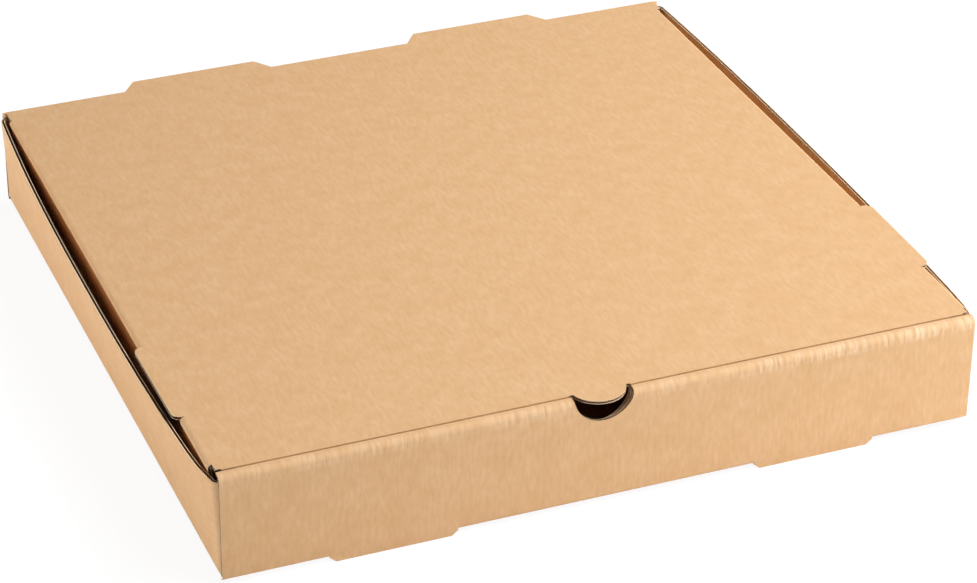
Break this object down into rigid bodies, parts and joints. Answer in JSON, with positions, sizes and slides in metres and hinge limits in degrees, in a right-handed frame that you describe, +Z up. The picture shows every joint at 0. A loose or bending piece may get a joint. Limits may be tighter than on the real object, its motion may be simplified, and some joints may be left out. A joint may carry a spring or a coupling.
{
  "type": "pizza box",
  "caption": "Flat square takeaway box of folded corrugated board, with a rolled front wall, a thumb notch and a tuck-in lid that swings on its rear crease.",
  "frame": {"origin": "centre of the box's outline, on the surface that its foot tabs stand on", "axes": "+Z up through the lid, -Y towards the rolled front wall with the thumb notch, +X to the right seen from the front"},
  "size_m": [0.377, 0.3706, 0.0566],
  "materials": {
    "kraft_board": "uncoated brown kraft"
  },
  "bodies": {
    "tray": {"tray": "kraft_board"},
    "lid": {"lid": "kraft_board"}
  },
  "joints": [
    {"name": "lid_hinge", "type": "hinge", "parent": "tray", "child": "lid", "pos_m": [0, 0.1758, 0.0515], "axis": [-1, 0, 0], "range_deg": [0, 180]}
  ]
}
